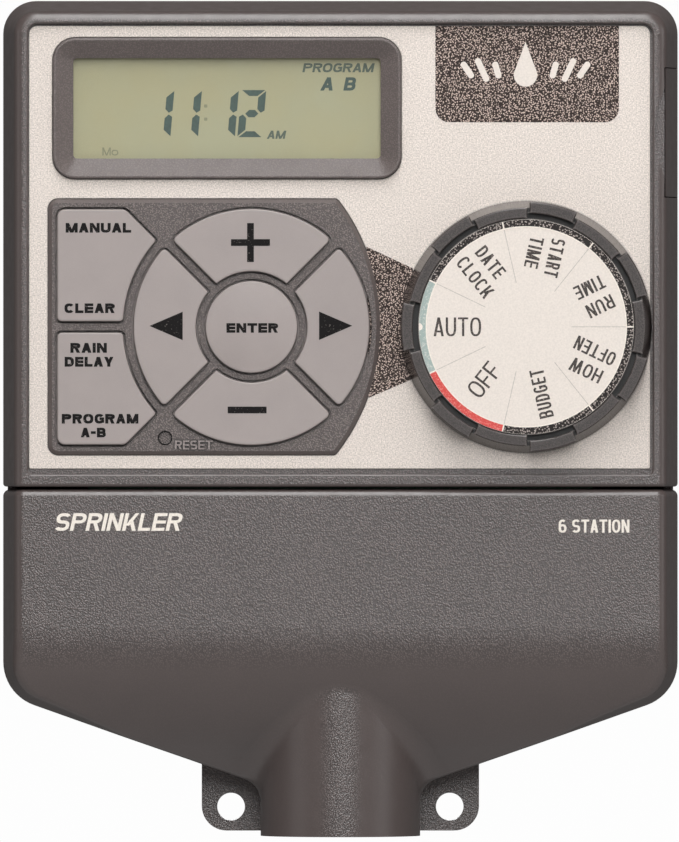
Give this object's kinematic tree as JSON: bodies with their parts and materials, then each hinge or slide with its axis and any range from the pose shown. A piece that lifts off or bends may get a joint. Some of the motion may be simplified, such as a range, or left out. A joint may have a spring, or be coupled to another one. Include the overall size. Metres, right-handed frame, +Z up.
{
  "type": "irrigation controller",
  "caption": "Wall-mounted sprinkler timer with a display, rubber-feel keys, a program dial, a battery drawer, a lift-off wiring cover and a half-round wire neck.",
  "frame": {"origin": "middle of the wall face, halfway between the side walls and halfway between the top and the neck's foot", "axes": "+Z up the wall, +X to the right seen from the front, -Y out of the wall towards the user"},
  "size_m": [0.165, 0.05, 0.2044],
  "materials": {
    "housing_plastic": "fine-textured dark grey moulding",
    "plate_plastic": "pebbled mid grey moulding",
    "printed_film": "pebbled metallic print on a thin film",
    "clear_lens": "clear polished window",
    "lcd": "greenish reflective display",
    "frame_plastic": "plain white moulding",
    "zebra_rubber": "layered conductive strip",
    "mat_rubber": "soft moulded sheet",
    "key_rubber": "smooth satin key",
    "dial_plastic": "dark grey satin knob",
    "label_white": "printed dial label",
    "circuit_board": "green solder mask",
    "component_black": "black moulded component",
    "component_metal": "tinned can",
    "contact_brass": "plated contact",
    "spring_steel": "bright spring strip",
    "screw_steel": "zinc-plated steel",
    "cell_steel": "steel coin cell",
    "terminal_plastic": "green terminal moulding",
    "varistor_coat": "blue dipped coating",
    "fuse_glass": "glass tube with metal caps",
    "ribbon_sheath": "flat grey ribbon"
  },
  "bodies": {
    "housing": {"back_plate": "housing_plastic", "front_housing": "housing_plastic", "faceplate_film": "printed_film", "display_bezel": "housing_plastic", "display_lens": "clear_lens", "lcd_glass": "lcd", "lcd_holder": "frame_plastic", "lcd_connector_strips": "zebra_rubber", "keypad_plate": "plate_plastic", "keypad_mat": "mat_rubber", "reset_switch": "component_black", "rotary_switch_body": "component_black", "detent_spring": "spring_steel", "main_board": "circuit_board", "microcontroller": "component_black", "quartz_crystal": "component_metal", "main_board_capacitors": "component_black", "battery_guide": "frame_plastic", "battery_contact_negative": "spring_steel", "battery_contact_positive": "spring_steel", "driver_board": "circuit_board", "terminal_block": "terminal_plastic", "terminal_screws": "screw_steel", "terminal_clamps": "contact_brass", "triacs": "component_black", "varistor": "varistor_coat", "filter_capacitor": "component_black", "rectifier_diodes": "component_black", "fuse": "fuse_glass", "fuse_clips": "component_metal", "voltage_regulator": "component_black", "ribbon_headers": "frame_plastic", "ribbon_cable": "ribbon_sheath", "housing_screws": "screw_steel", "main_board_screws": "screw_steel", "driver_board_screws": "screw_steel"},
    "cover": {"lower_cover": "housing_plastic"},
    "dial": {"dial_knob": "dial_plastic", "dial_label": "label_white", "dial_shaft": "frame_plastic", "switch_wiper": "contact_brass"},
    "reset": {"reset_button": "plate_plastic"},
    "battery_drawer": {"battery_tray": "housing_plastic", "coin_cell": "cell_steel"},
    "enter_key": {"key_enter": "key_rubber"},
    "plus_key": {"key_plus": "key_rubber"},
    "minus_key": {"key_minus": "key_rubber"},
    "left_key": {"key_left": "key_rubber"},
    "right_key": {"key_right": "key_rubber"},
    "manual_clear_key": {"key_manual_clear": "key_rubber"},
    "rain_program_key": {"key_rain_program": "key_rubber"}
  },
  "joints": [
    {"name": "cover_lift", "type": "slide", "parent": "housing", "child": "cover", "axis": [0, -1, 0], "range_m": [0, 0.06]},
    {"name": "dial_turn", "type": "hinge", "parent": "housing", "child": "dial", "pos_m": [0.0453, -0.04, 0.0224], "axis": [0, -1, 0], "continuous": true},
    {"name": "drawer_pull", "type": "slide", "parent": "housing", "child": "battery_drawer", "axis": [1, 0, 0], "range_m": [0, 0.03]},
    {"name": "enter_press", "type": "slide", "parent": "housing", "child": "enter_key", "axis": [0, 1, 0], "range_m": [0, 0.0008], "stiffness_N_per_m": 1500, "springref_m": -0.0002},
    {"name": "plus_press", "type": "slide", "parent": "housing", "child": "plus_key", "axis": [0, 1, 0], "range_m": [0, 0.0008], "stiffness_N_per_m": 1500, "springref_m": -0.0002},
    {"name": "minus_press", "type": "slide", "parent": "housing", "child": "minus_key", "axis": [0, 1, 0], "range_m": [0, 0.0008], "stiffness_N_per_m": 1500, "springref_m": -0.0002},
    {"name": "left_press", "type": "slide", "parent": "housing", "child": "left_key", "axis": [0, 1, 0], "range_m": [0, 0.0008], "stiffness_N_per_m": 1500, "springref_m": -0.0002},
    {"name": "right_press", "type": "slide", "parent": "housing", "child": "right_key", "axis": [0, 1, 0], "range_m": [0, 0.0008], "stiffness_N_per_m": 1500, "springref_m": -0.0002},
    {"name": "manual_clear_rock", "type": "hinge", "parent": "housing", "child": "manual_clear_key", "pos_m": [-0.059, -0.0402, 0.03745], "axis": [1, 0, 0], "range_deg": [-2.5, 2.5], "stiffness_Nm_per_rad": 0.3},
    {"name": "rain_program_rock", "type": "hinge", "parent": "housing", "child": "rain_program_key", "pos_m": [-0.059, -0.0402, 0.00735], "axis": [1, 0, 0], "range_deg": [-2.5, 2.5], "stiffness_Nm_per_rad": 0.3},
    {"name": "reset_press", "type": "slide", "parent": "housing", "child": "reset", "axis": [0, 1, 0], "range_m": [0, 0.0004], "stiffness_N_per_m": 1500, "springref_m": -0.0002}
  ]
}
